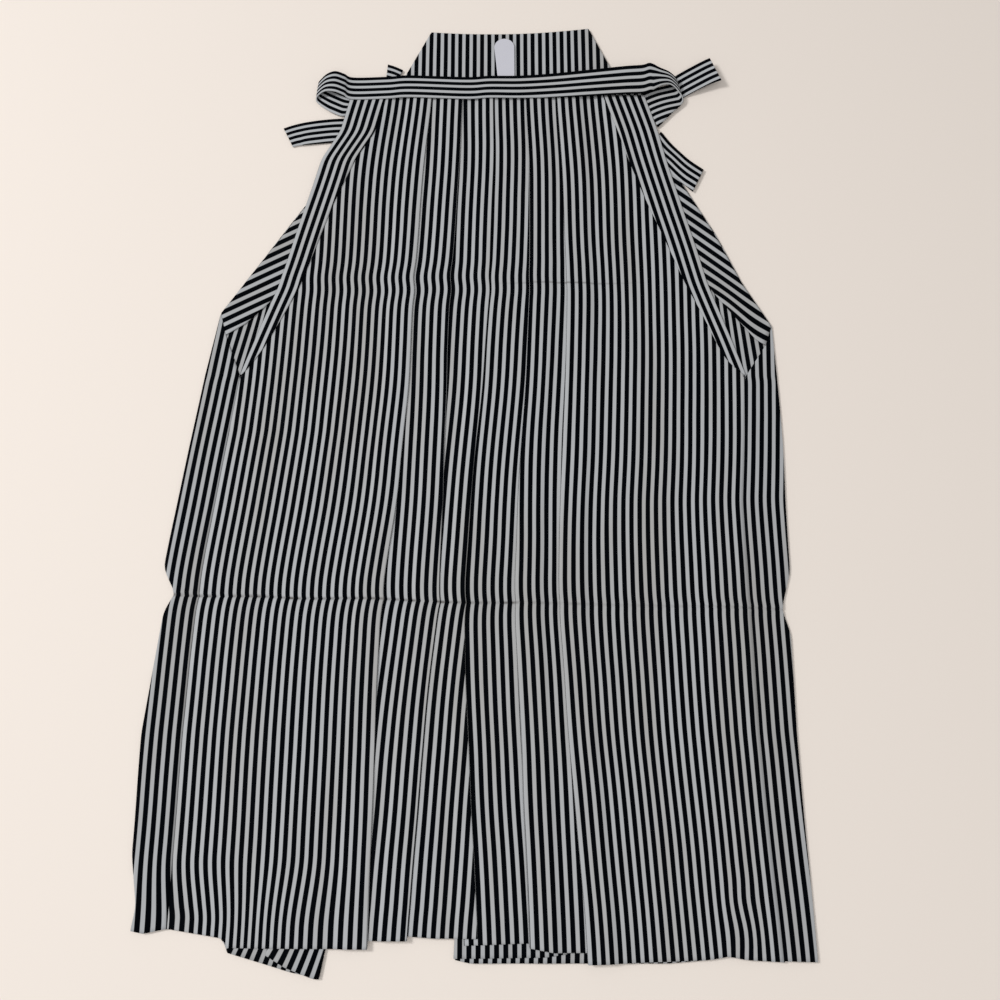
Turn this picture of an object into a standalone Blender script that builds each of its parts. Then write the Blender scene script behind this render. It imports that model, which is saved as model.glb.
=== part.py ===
"""Striped divided hakama (pleated trousers), laid flat with its front side up.

The waist points along +Y and the hems along -Y; the wearer's right side is at -X.
Every piece of cloth is a wall one millimetre thick that follows its real folds:
the back legs wrap round the side folds, the front legs run in and out of their
knife pleats, and the ties are flat bands. Sizes are in millimetres from a point on
the front's middle line, a little above the knees, and MM turns them into metres
about the middle of the whole garment. A table's rows are levels, from the waist
down, and an edge runs straight from one level to the next.
"""
import math

import bpy

MM = 0.001
CENTRE_X = -25.7        # middle of the whole garment
CENTRE_Y = 59.0

# Levels along the garment.
WAIST = 475             # top of the front, under the band
TIE_LEVEL = 425         # the right tie's end comes out here, and the side bends
FLANK = 390             # the flanks widen below this
UPPER_CREASE = 240      # a faint crease, from storage
SLIT_FOOT = 132         # foot of the side openings
THIGH = 0               # the legs part here
KNEE_CREASE = -105      # a strong crease, from storage
CALF = -230
HEM = -420

# Cloth and layers.
CLOTH = 1.0             # wall of one layer of cloth
STEP = 1.4              # rise from one layer to the next: cloth and the air between
FLOOR_LAYER = 0.5       # middle of the layer that lies on the floor
SEAM_GAP = 0.5          # clear space where two pieces are sewn edge to edge
BEND = STEP / 2         # radius of a flat fold, at the middle of the cloth
FIRST = FLOOR_LAYER + STEP
SECOND = FIRST + STEP
THIRD = SECOND + STEP

# Pleats.
FOLD = 20.0             # depth of a knife pleat behind its edge
CENTRE_FOLD = 12.0      # depth of the centre pleat behind its edge
RAMP = 6.5              # length over which a panel climbs onto the folds below it
CENTRE_RAMP = 5.5       # the same, where the narrow centre pleat begins
CLEAR = 1.5             # a climbing panel is level this far before the fold below
CREST = 12.0            # width of the shoulder between the side and the middle height

# The front's outer edges and the edges of its five pleats, across each level.
FRONT_COLUMNS = ("y", "right", "p1", "p2", "p3", "p4", "p5", "left")
FRONT_EDGES = (
    (WAIST, -166, -76, -42, -8, 29, 64, 161),
    (TIE_LEVEL, -177, -81, -44, -7, 31, 67, 175),
    (FLANK, -197, -85, -45, -6, 33, 69, 183),
    (UPPER_CREASE, -235, -92, -53, -11, 32, 72, 221),
    (SLIT_FOOT, -272, -95, -56, -18, 27, 69, 257),
    (THIGH, -288, -104, -58, -30, 18, 61, 247),
    (KNEE_CREASE, -300, -118, -61, -36, 14, 58, 247),
    (CALF, -303, -119, -73, -31, 20, 65, 248),
    (HEM, -303, -120, -85, -20, 27, 80, 257),
)
# Height of the front at its sides, which lie on the facings and the ties' ends, and
# at its middle, which lies on the gusset below the thighs.
SIDE_HEIGHTS = ((WAIST, THIRD), (FLANK, THIRD), (320, SECOND), (180, SECOND),
                (SLIT_FOOT, FIRST), (HEM, FIRST))
MIDDLE_HEIGHTS = ((WAIST, FIRST), (THIGH, FIRST), (-60, SECOND), (HEM, SECOND))
# How far out the middle height reaches on the right and on the left.
REACH = ((WAIST, -110, 103), (FLANK, -137, 122), (SLIT_FOOT, -200, 190),
         (THIGH, -160, 120), (-60, -150, 100), (HEM, -219, 114))
# Creases across the front: level, half the width of the ridge, and its height.
CREASES = ((UPPER_CREASE, 10, 0.8), (KNEE_CREASE, 13, 1.5))

# Where each front panel's hem runs, as (x, y), from the outer panel to the centre.
RIGHT_HEMS = (
    ((-303, -404), (-252, -412), (-247, -420), (-120, -421)),
    ((-120, -414), (-85, -414)),
    ((-85, -410), (-60, -412), (-20, -412)),
)
LEFT_HEMS = (
    ((80, -434), (190, -430), (207, -427), (222, -430), (257, -432)),
    ((27, -420), (50, -424), (100, -424)),
    ((-33, -418), (27, -416)),
)

# The back. Its cloth turns round each side, outside the front, by this much.
RIGHT_TURN = ((SLIT_FOOT, 37), (-70, 38), (-95, 24), (-115, 31), (CALF, 39), (-340, 38),
              (-385, 30), (-405, 33))
LEFT_TURN = ((SLIT_FOOT, 33), (60, 39), (THIGH, 42), (-75, 41), (-112, 30), (-135, 37),
             (CALF, 35), (HEM, 30))
# Above the slits the back's slanted edge, and the free edge of the facing turned in.
BACK_TOP = 483
RIGHT_SLANT = ((BACK_TOP, -116), (205, -297), (180, -301), (SLIT_FOOT, -309))
RIGHT_FACING = ((BACK_TOP, -112), (FLANK, -147), (330, -190), (265, -207), (211, -252),
                (193, -270), (180, -290))
LEFT_SLANT = ((BACK_TOP, 138), (350, 207), (300, 233), (240, 260), (190, 288), (SLIT_FOOT, 290))
LEFT_FACING = ((BACK_TOP, 124), (330, 182), (265, 205), (226, 231), (199, 251), (175, 270),
               (168, 280))
# The seam between the two back legs, and their inner edges below it.
CENTRE_SEAM = ((BACK_TOP, 0), (THIGH, -18))
RIGHT_INSEAM = ((THIGH, -18), (-385, -149), (-405, -165))
LEFT_INSEAM = ((THIGH, -18), (HEM, -41))
BACK_RIGHT_HEM = ((-340, -405), (-324, -408), (-304, -404), (-252, -412), (-247, -424),
                  (-190, -440), (-165, -445))
BACK_LEFT_HEM = ((-41, -430), (-28, -433), (150, -433), (190, -430), (207, -426),
                 (222, -430), (290, -432))

# The gusset's two halves: inner and outer edge at their top and at the hem.
GUSSET_TOP = -62
GUSSET_RIGHT = ((GUSSET_TOP, -40, -132), (HEM, -163, -212))
GUSSET_LEFT = ((GUSSET_TOP, -22, 40), (HEM, -42, 62))
GUSSET_RIGHT_HEM = ((-214, -425), (-195, -436), (-168, -446))
GUSSET_LEFT_HEM = ((-42, -429), (40, -428), (62, -425))

# The leaf-shaped side folds on the front, above the slits: their width by level.
LEAF_PROUD = 1.0        # a leaf's fold stands this far outside the front's own edge
LEAF_FOOT = 136
RIGHT_LEAF = ((472, 40), (FLANK, 38), (340, 30), (250, 24), (205, 19), (170, 14), (148, 8),
              (LEAF_FOOT, 2))
LEFT_LEAF = ((472, 47), (FLANK, 42), (340, 37), (250, 25), (205, 19), (170, 17), (148, 13),
             (LEAF_FOOT, 4))

# Waistband and ties: each row is a crossing of the band, by its middle x and y, the
# degrees it leans to the right, its width, the middle's height and the upper edge's
# further rise. A band's own width is TIE_WIDTH, less where it turns over on edge.
TIE_COLUMNS = ("x", "y", "lean", "width", "z", "rise")
TIE_WIDTH = 28
BAND_CLOTH = 1.6        # the waistband is folded over itself
BAND_Z = 7.8
WAISTBAND = (
    (-166, 479, 0, TIE_WIDTH, BAND_Z, 0),
    (-110, 481, 0, TIE_WIDTH, BAND_Z, 0),
    (-20, 478.5, 0, TIE_WIDTH, BAND_Z, 0),
    (30, 480.5, 0, TIE_WIDTH, BAND_Z + 0.4, 0.4),
    (60, 481, 0, 29, BAND_Z + 1.1, 1.1),
    (100, 482.5, 0, 30, 10.6, 2.4),
    (140, 485, 0, 30, 12.6, 3.9),
    (160, 485.5, 0, 30, 13.6, 4.4),
)
RIGHT_TIE_LOOP = (
    (-167, 479, 0, TIE_WIDTH, BAND_Z, 0),
    (-176, 482, 0, 27, 10, 0),
    (-186, 484, 0, 26, 12, 0),
    (-196, 483, 3, 22, 11, 0),
    (-204, 478, 6, 19, 8, 0.5),
    (-206, 476, 6, 21, 5, 0.3),
    (-203, 474, 8, 25, 2.4, 0),
    (-190, 466, 10, TIE_WIDTH, 2.8, 0),
    (-177, 460, 8, TIE_WIDTH, SECOND, 0),
    (-167, 459, 14, 24, SECOND, 0),
)
RIGHT_TIE_END = (
    (-165, 430, 4, 26, SECOND, 0),
    (-184, 428, 9, 30, SECOND, 0),
    (-202, 426, 6, 30, 2.6, 0),
    (-217, 424, 6, 29, 1.7, 0),
    (-228, 422, -6, 27, 1.1, 0),
    (-237, 419, -26, 26, 0.8, 0),
)
LEFT_TIE_LOOP = (
    (161, 485.5, 0, 30, 13.6, 4.4),
    (170, 488, -4, 29, 15, 4),
    (181, 488, -6, 20, 15, 2),
    (191, 487, -8, 15, 13.5, 1.5),
    (199, 482, -9, 16, 10, 1),
    (203, 476, -17, 22, 6.2, 0.6),
    (199, 472, -23, 26, 3.5, 0),
    (184, 459, -27, 26, SECOND, 0),
    (173, 448, -24, 27, SECOND, 0),
    (168, 444, -23, TIE_WIDTH, SECOND, 0),
)
LEFT_TIE_UPPER_END = (
    (195, 479, -19, TIE_WIDTH, 1, 0),
    (206, 486, -17, 29, 1.6, 0),
    (219, 492, -19, 29, 5, 0),
    (235, 499, -19, 30, 8, 0),
    (244, 502, -22, 31, 9.5, 0),
)
LEFT_TIE_LOWER_END = (
    (173, 415, 33, 27, SECOND, 0),
    (181, 403, 44, 26, SECOND, 0),
    (192, 391, 43, 25, SECOND, 0),
    (203, 378, 33, 27, SECOND, 0),
    (219, 364, 26, 30, 3.2, 0),
)
BACK_TIE_END = (
    (-129, 500, 4, TIE_WIDTH, 1.6, 0),
    (-122, 498, 13, 26, 1.6, 0),
    (-116, 495, 25, 25, 1.6, 0),
)

# Waist board, a trapezoid with a hollow top edge, and its spatula.
BOARD_X = 11.5          # middle of the board
BOARD_FOOT = 484
BOARD_TOP = 561
BOARD_TOP_WIDTH = 184
BOARD_FOOT_WIDTH = 254
BOARD_TILT = 2.5        # the top edge's ends are this much lower and higher
BOARD_SAG = 5.0         # hollow of the top edge
BOARD_THICK = 3.2
BOARD_EDGE = 0.4
SPATULA_X = 5
SPATULA_TOP = 546
SPATULA_FOOT = 488
SPATULA_HEAD = 22       # across the round head
SPATULA_WIDTH = 17.5    # across the foot, whose right side is in line with the head
SPATULA_THICK = 1.4
SPATULA_GAP = 0.3       # clear of the board
SPATULA_EDGE = 0.3
TOP_STEPS = 8           # straight lengths in the board's hollow top edge
HEAD_STEPS = 12         # straight lengths in the spatula's round head
WELD = 0.01             # points of a plate nearer together than this are joined

# How the pieces are drawn.
BEND_ANGLES = (-45, 0, 45)          # points of a half-round fold, in degrees
INNER_POINTS = (0, 1 / 3, 2 / 3)    # points between a flat piece's inner and outer edge
CLOTH_ROUGH = 0.75
PLASTIC_ROUGH = 0.35
BACK_RIGHT_GREY = (0.16, 0.16, 0.18)
BACK_LEFT_GREY = (0.18, 0.18, 0.20)
GUSSET_RIGHT_GREY = (0.14, 0.15, 0.18)
GUSSET_LEFT_GREY = (0.14, 0.16, 0.18)
FRONT_RIGHT_GREY = (0.24, 0.24, 0.27)
FRONT_LEFT_GREY = (0.26, 0.26, 0.29)
LEAF_GREY = (0.30, 0.30, 0.33)
BOARD_GREY = (0.22, 0.22, 0.24)
SPATULA_LILAC = (0.74, 0.72, 0.80)
BAND_GREY = (0.34, 0.34, 0.37)
LOOP_GREY = (0.32, 0.33, 0.37)
TIE_END_GREY = (0.28, 0.30, 0.36)


def clear_scene():
    """Remove whatever the scene holds."""
    for thing in list(bpy.data.objects):
        bpy.data.objects.remove(thing, do_unlink=True)


def place(x, y, z):
    """A point in metres, about the middle of the garment."""
    return ((x - CENTRE_X) * MM, (y - CENTRE_Y) * MM, z * MM)


def at(table, y, column=1):
    """A table's column at level y, straight between its rows and level past them."""
    for upper, lower in zip(table, table[1:]):
        if y >= lower[0]:
            share = max((upper[0] - y) / (upper[0] - lower[0]), 0)
            return upper[column] + (lower[column] - upper[column]) * share
    return table[-1][column]


def levels_of(*tables):
    """Every level that the tables name, from the waist down."""
    return sorted({row[0] for table in tables for row in table}, reverse=True)


def along(points, x):
    """Height y of a line of (x, y) points at x, level past its ends."""
    points = sorted(points)
    if x <= points[0][0]:
        return points[0][1]
    for (x0, y0), (x1, y1) in zip(points, points[1:]):
        if x <= x1:
            return y0 + (y1 - y0) * (x - x0) / (x1 - x0)
    return points[-1][1]


def ridge(y):
    """Height of the storage creases' ridges at level y."""
    return max(max(0, height * (1 - abs(y - level) / half)) for level, half, height in CREASES)


def side_height(y):
    return at(SIDE_HEIGHTS, y) + ridge(y)


def bend(x, inward, z_from, z_to):
    """Three points of a half-round fold at x, whose cloth lies on the side inward."""
    middle = (z_from + z_to) / 2
    radius = (z_to - z_from) / 2
    points = []
    for turn in BEND_ANGLES:
        angle = math.radians(turn)
        points.append((x + inward * BEND * (1 - math.cos(angle)),
                       middle + radius * math.sin(angle)))
    return points


def plain_material(name, colour, roughness):
    material = bpy.data.materials.new(name)
    material.use_nodes = True
    shader = material.node_tree.nodes["Principled BSDF"]
    shader.inputs["Base Color"].default_value = (*colour, 1.0)
    shader.inputs["Roughness"].default_value = roughness
    shader.inputs["Metallic"].default_value = 0.0
    return material


def add_object(name, data, material):
    """Put mesh or curve data in the garment's collection under the piece's name."""
    piece = bpy.data.objects.new(name, data)
    piece.data.materials.append(material)
    hakama.objects.link(piece)
    return piece


def cloth_wall(name, lines, colour, thickness=CLOTH):
    """Loft lines of points, all alike in number, and thicken the surface evenly."""
    width = len(lines[0])
    points = [place(*point) for line in lines for point in line]
    faces = []
    for row in range(len(lines) - 1):
        for column in range(width - 1):
            corner = row * width + column
            faces.append((corner, corner + width, corner + width + 1, corner + 1))
    mesh = bpy.data.meshes.new(name)
    mesh.from_pydata(points, [], faces)
    mesh.update()
    piece = add_object(name, mesh, plain_material(name + "_cloth", colour, CLOTH_ROUGH))
    wall = piece.modifiers.new("cloth", "SOLIDIFY")
    wall.thickness = thickness * MM
    wall.offset = 0.0
    wall.use_even_offset = True
    return piece


def front_row(y):
    """The front's edges and heights at level y, by name."""
    row = {name: at(FRONT_EDGES, y, column) for column, name in enumerate(FRONT_COLUMNS)}
    row["side_z"] = side_height(y)
    row["mid_z"] = at(MIDDLE_HEIGHTS, y) + ridge(y)
    row["reach_right"] = at(REACH, y, 1)
    row["reach_left"] = at(REACH, y, 2)
    return row


def front_levels():
    """Levels of the front's sections: those of its tables, and each crease's width."""
    creased = [(level + side,) for level, half, _ in CREASES for side in (half, 0, -half)]
    return levels_of(FRONT_EDGES, SIDE_HEIGHTS, MIDDLE_HEIGHTS, REACH, creased)


def knife_pleat(edge, inward, low, panel):
    """Path past one pleat: up the ramp, out to its edge, back under, and down.

    inward is the side on which the pleat's cloth lies, low is the height that the
    path comes from and goes back to, and panel is the number of the panel before
    the pleat. Points of the hidden fold get numbers between it and the next one.
    """
    back = edge + inward * FOLD
    first = low + STEP
    top = low + 2 * STEP
    shown = [(back + inward * (CLEAR + RAMP), low), (back + inward * CLEAR, top),
             (edge + inward * BEND, top)]
    hidden = bend(edge, inward, top, first)
    hidden += [(edge + inward * BEND, first), (back - inward * BEND, first)]
    hidden += bend(back, -inward, first, low)
    path = [(x, z, panel) for x, z in shown]
    for index, (x, z) in enumerate(hidden):
        path.append((x, z, panel + (index + 1) / (len(hidden) + 1)))
    return path + [(back - inward * BEND, low, panel + 1)]


def right_front_section(row):
    """Section of the right front leg, from its outer edge to the centre pleat."""
    low = row["mid_z"]
    back = row["p3"] - CENTRE_FOLD
    edge = row["p3"] - BEND
    path = [
        (row["right"], row["side_z"], 0),
        (row["reach_right"] - CREST, row["side_z"], 0),
        (row["reach_right"], low, 0),
    ]
    path += knife_pleat(row["p1"], -1, low, 0)
    path += knife_pleat(row["p2"], -1, low, 1)
    path += [(back - CLEAR - CENTRE_RAMP, low, 2), (back - CLEAR, low + 2 * STEP, 2)]
    path += [(edge, low + 2 * STEP, 2)]
    path += [(x, z, 2) for x, z in bend(row["p3"], -1, low + 2 * STEP, low + STEP)]
    path += [(edge, low + STEP, 2), (back, low + STEP, 2)]
    return path


def left_front_section(row):
    """Section of the left front leg, from its outer edge to under the centre pleat."""
    low = row["mid_z"]
    path = [
        (row["left"], row["side_z"], 0),
        (row["reach_left"] + CREST, row["side_z"], 0),
        (row["reach_left"], low, 0),
    ]
    path += knife_pleat(row["p5"], 1, low, 0)
    path += knife_pleat(row["p4"], 1, low, 1)
    path += [(row["p3"], low, 2), (row["p3"] - CENTRE_FOLD, low, 2)]
    return path


def hem_y(hems, panel, x):
    """The hem's y at x, blended between two panels' hems inside a fold."""
    before = int(panel)
    share = panel - before
    if share == 0:
        return along(hems[before], x)
    return along(hems[before], x) * (1 - share) + along(hems[before + 1], x) * share


def front_leg(name, section, hems, colour):
    """A front leg: its section at each level, the last one cut along the hems."""
    lines = []
    for y in front_levels():
        lines.append([(x, hem_y(hems, panel, x) if y == HEM else y, z)
                      for x, z, panel in section(front_row(y))])
    return cloth_wall(name, lines, colour)


def back_leg(name, outward, seam, turn, slant, facing, inseam, hem, colour):
    """A back leg and the side cloth turned over it; outward is -1 on the right.

    seam names the front's edge that the turned cloth is sewn to below the slit.
    """
    column = FRONT_COLUMNS.index(seam)
    above = [y for y in levels_of(slant, facing) if y > SLIT_FOOT]
    below = [y for y in levels_of(FRONT_EDGES, turn, inseam) if turn[-1][0] <= y <= SLIT_FOOT]
    lines = []
    for y in above + below:
        if y > SLIT_FOOT:
            fold = at(slant, y)
            seam_x = at(FRONT_EDGES, SLIT_FOOT, column) + outward * SEAM_GAP
            free = at(facing + ((SLIT_FOOT, seam_x),), y)
        else:
            fold = at(FRONT_EDGES, y, column) + outward * at(turn, y)
            free = at(FRONT_EDGES, y, column) + outward * SEAM_GAP
        if y > THIGH:
            inner = at(CENTRE_SEAM, y) + outward * SEAM_GAP
        else:
            inner = at(inseam, y) + outward * SEAM_GAP
        path = [(inner + (fold - inner) * share, FLOOR_LAYER) for share in INNER_POINTS]
        path += [(fold - outward * BEND, FLOOR_LAYER)]
        path += bend(fold, -outward, FLOOR_LAYER, FIRST)
        path += [(fold - outward * BEND, FIRST), (free, FIRST)]
        at_hem = y == below[-1]
        lines.append([(x, along(hem, x) if at_hem else y, z) for x, z in path])
    return cloth_wall(name, lines, colour)


def gusset_half(name, edges, hem, colour):
    """Half of the folded gusset, flat between the back and the front."""
    lines = []
    for y in levels_of(edges):
        inner = at(edges, y, 1)
        outer = at(edges, y, 2)
        xs = [inner + (outer - inner) * share for share in INNER_POINTS + (1,)]
        lines.append([(x, along(hem, x) if y == HEM else y, FIRST) for x in xs])
    return cloth_wall(name, lines, colour)


def side_leaf(name, outward, seam, widths, colour):
    """The front's side edge, folded over onto it in a long slanted leaf."""
    column = FRONT_COLUMNS.index(seam)
    levels = sorted(set(front_levels() + levels_of(widths)), reverse=True)
    levels = [y for y in levels if LEAF_FOOT <= y <= widths[0][0]]
    lines = []
    for y in levels:
        outer = at(FRONT_EDGES, y, column) + outward * LEAF_PROUD
        inner = outer - outward * at(widths, y)
        height = side_height(y) + STEP
        lines.append([(x, y, height) for x in (outer, (outer + inner) / 2, inner)])
    return cloth_wall(name, lines, colour)


def tie(name, crossings, colour, thickness=CLOTH):
    """A flat band, from its crossings."""
    lines = []
    for values in crossings:
        row = dict(zip(TIE_COLUMNS, values))
        lean = math.radians(row["lean"])
        line = []
        for side in (1, 0, -1):
            reach = side * row["width"] / 2
            line.append((row["x"] + reach * math.sin(lean), row["y"] + reach * math.cos(lean),
                         row["z"] + side * row["rise"]))
        lines.append(line)
    return cloth_wall(name, lines, colour, thickness)


def flat_plate(name, outline, z_low, thickness, edge, colour, roughness):
    """A flat plate cut to an outline, its edges slightly rounded."""
    curve = bpy.data.curves.new(name, "CURVE")
    curve.dimensions = "2D"
    curve.fill_mode = "BOTH"
    curve.extrude = (thickness / 2 - edge) * MM
    curve.bevel_depth = edge * MM
    curve.bevel_resolution = 0
    spline = curve.splines.new("POLY")
    spline.points.add(len(outline) - 1)
    for point, (x, y) in zip(spline.points, outline):
        px, py, _ = place(x, y, 0)
        point.co = (px, py, 0.0, 1.0)
    spline.use_cyclic_u = True
    piece = add_object(name, curve, plain_material(name + "_finish", colour, roughness))
    piece.location.z = (z_low + thickness / 2) * MM
    weld = piece.modifiers.new("joined_caps", "WELD")
    weld.merge_threshold = WELD * MM
    return piece


def waist_board():
    """The stiff trapezoid board, covered in cloth, at the top of the back."""
    top = BOARD_TOP_WIDTH / 2
    foot = BOARD_FOOT_WIDTH / 2
    outline = []
    for step in range(TOP_STEPS + 1):
        share = 2 * step / TOP_STEPS - 1
        outline.append((BOARD_X + top * share,
                        BOARD_TOP + BOARD_TILT * share - BOARD_SAG * (1 - share * share)))
    outline += [(BOARD_X + foot, BOARD_FOOT), (BOARD_X - foot, BOARD_FOOT)]
    return flat_plate("waist_board", outline, 0.0, BOARD_THICK, BOARD_EDGE, BOARD_GREY,
                      CLOTH_ROUGH)


def spatula():
    """The thin plastic spatula that is stitched to the inside of the waist board."""
    radius = SPATULA_HEAD / 2
    right = SPATULA_X + radius
    outline = [(right - SPATULA_WIDTH, SPATULA_FOOT), (right, SPATULA_FOOT)]
    for step in range(HEAD_STEPS + 1):
        angle = math.pi * step / HEAD_STEPS
        outline.append((SPATULA_X + radius * math.cos(angle),
                        SPATULA_TOP - radius + radius * math.sin(angle)))
    return flat_plate("waist_spatula", outline, BOARD_THICK + SPATULA_GAP, SPATULA_THICK,
                      SPATULA_EDGE, SPATULA_LILAC, PLASTIC_ROUGH)


clear_scene()
hakama = bpy.data.collections.new("hakama")
bpy.context.scene.collection.children.link(hakama)

back_leg("back_right_leg", -1, "right", RIGHT_TURN, RIGHT_SLANT, RIGHT_FACING, RIGHT_INSEAM,
         BACK_RIGHT_HEM, BACK_RIGHT_GREY)
back_leg("back_left_leg", 1, "left", LEFT_TURN, LEFT_SLANT, LEFT_FACING, LEFT_INSEAM,
         BACK_LEFT_HEM, BACK_LEFT_GREY)
gusset_half("gusset_right_half", GUSSET_RIGHT, GUSSET_RIGHT_HEM, GUSSET_RIGHT_GREY)
gusset_half("gusset_left_half", GUSSET_LEFT, GUSSET_LEFT_HEM, GUSSET_LEFT_GREY)
front_leg("front_right_leg", right_front_section, RIGHT_HEMS, FRONT_RIGHT_GREY)
front_leg("front_left_leg", left_front_section, LEFT_HEMS, FRONT_LEFT_GREY)
side_leaf("right_side_fold", -1, "right", RIGHT_LEAF, LEAF_GREY)
side_leaf("left_side_fold", 1, "left", LEFT_LEAF, LEAF_GREY)
waist_board()
spatula()
tie("front_waistband", WAISTBAND, BAND_GREY, BAND_CLOTH)
tie("right_tie_loop", RIGHT_TIE_LOOP, LOOP_GREY)
tie("right_tie_end", RIGHT_TIE_END, TIE_END_GREY)
tie("left_tie_loop", LEFT_TIE_LOOP, LOOP_GREY)
tie("left_tie_upper_end", LEFT_TIE_UPPER_END, TIE_END_GREY)
tie("left_tie_lower_end", LEFT_TIE_LOWER_END, TIE_END_GREY)
tie("back_tie_end", BACK_TIE_END, TIE_END_GREY)
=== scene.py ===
"""Striped hakama trousers laid flat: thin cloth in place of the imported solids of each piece."""
import math

import bpy
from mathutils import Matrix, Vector, noise


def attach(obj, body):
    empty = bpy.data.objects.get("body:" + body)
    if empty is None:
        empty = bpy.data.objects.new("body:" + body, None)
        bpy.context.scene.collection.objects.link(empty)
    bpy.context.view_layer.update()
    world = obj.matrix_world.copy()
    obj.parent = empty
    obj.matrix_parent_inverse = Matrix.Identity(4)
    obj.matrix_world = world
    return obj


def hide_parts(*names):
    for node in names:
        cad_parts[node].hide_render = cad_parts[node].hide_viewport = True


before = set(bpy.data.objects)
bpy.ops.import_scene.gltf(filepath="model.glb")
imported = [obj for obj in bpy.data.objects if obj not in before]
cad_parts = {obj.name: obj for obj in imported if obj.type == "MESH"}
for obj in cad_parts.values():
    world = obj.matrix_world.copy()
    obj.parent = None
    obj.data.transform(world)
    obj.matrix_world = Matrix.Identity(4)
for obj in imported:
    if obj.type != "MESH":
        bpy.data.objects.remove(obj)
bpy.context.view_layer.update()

bpy.context.scene.view_settings.view_transform = "Standard"

# ---------------------------------------------------------------- the striped silk
# Ribbed silk in near-black and light grey, woven with the stripes along its length.
# Every sewn piece is cut from it with the stripes running from waist to hem, so its
# material reads each piece's own cloth coordinates: across and along, in metres.

STRIPE = 8.3            # millimetres from one dark stripe to the next
DARK_SHARE = 0.565      # of the repeat
STRIPE_SOFT = 0.028     # of the repeat, to each side of a stripe's edge
RIB = 0.9               # millimetres from one weft rib to the next
RIB_HEIGHT = 0.00012    # metres
PER_METRE = 1000        # millimetres
# Painted shade: the light stripes of the layers lying under the front are a little darker.
UNDER_LAYER_SHADE = 0.92      # the inner layers' light stripes are a little darker
# Painted shade in the storage creases, mixed with some wear: a warm dark brown.
CREASE_SHADE_AND_WEAR = (0.060, 0.048, 0.040, 1)      # along the storage creases
INK = (0.0003, 0.0008, 0.0018, 1)
INK_FADED = (0.0014, 0.0018, 0.0028, 1)
GREY = (0.405, 0.417, 0.432, 1)
GREY_WARM = (0.372, 0.368, 0.362, 1)
PALE_THREAD = (0.52, 0.53, 0.54, 1)


class Value:
    """A shader socket that does arithmetic by adding Math nodes."""

    def __init__(self, tree, socket):
        self.tree = tree
        self.socket = socket

    def math(self, operation, *others):
        inputs = {index: other for index, other in enumerate((self, *others))}
        return node(self.tree, "ShaderNodeMath", {"operation": operation}, inputs)

    def __add__(self, other):
        return self.math("ADD", other)

    __radd__ = __add__

    def __mul__(self, other):
        return self.math("MULTIPLY", other)

    __rmul__ = __mul__

    def __sub__(self, other):
        return self.math("SUBTRACT", other)

    def __rsub__(self, other):
        return self * -1 + other


def node(tree, kind, settings=None, inputs=None, output=0):
    """Add a node: its settings first, then its inputs' values or links."""
    made = tree.nodes.new(kind)
    for name, value in (settings or {}).items():
        setattr(made, name, value)
    for name, value in (inputs or {}).items():
        if isinstance(value, Value):
            tree.links.new(value.socket, made.inputs[name])
        else:
            made.inputs[name].default_value = value
    return Value(tree, made.outputs[output])


def mix(tree, share, one, other):
    """Blend two colours."""
    return node(tree, "ShaderNodeMix", {"data_type": "RGBA"}, {0: share, 6: one, 7: other}, 2)


def step_between(tree, value, low, high):
    """0 below low and 1 above high, smooth between."""
    return node(tree, "ShaderNodeMapRange", {"interpolation_type": "SMOOTHSTEP"},
                {"Value": value, "From Min": low, "From Max": high})


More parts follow.
